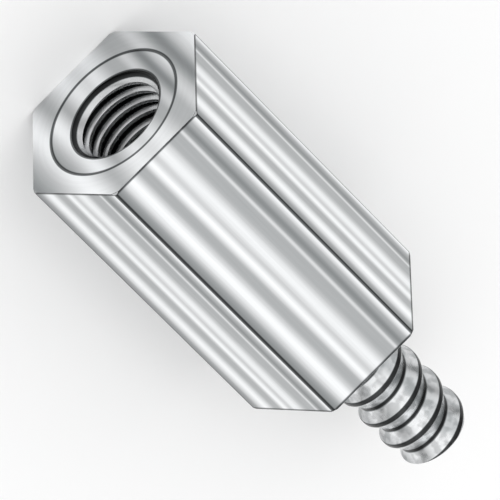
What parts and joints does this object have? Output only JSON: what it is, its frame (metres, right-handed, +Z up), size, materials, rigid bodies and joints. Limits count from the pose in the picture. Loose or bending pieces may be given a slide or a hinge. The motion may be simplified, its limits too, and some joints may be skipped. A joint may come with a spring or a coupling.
{
  "type": "hex standoff",
  "caption": "Hexagonal spacer with a countersunk tapped hole in one end and a threaded stud on the other.",
  "frame": {"origin": "under the middle of the whole length, on the plane that the body's lower flat rests on", "axes": "+X along the part's axis, out of the tapped end; +Z up, square to the flat it lies on"},
  "size_m": [0.0188, 0.0072, 0.0063],
  "materials": {
    "bright_metal": "bright machined, with streaks drawn along the flats"
  },
  "bodies": {
    "root": {"hex_standoff": "bright_metal"}
  },
  "joints": []
}
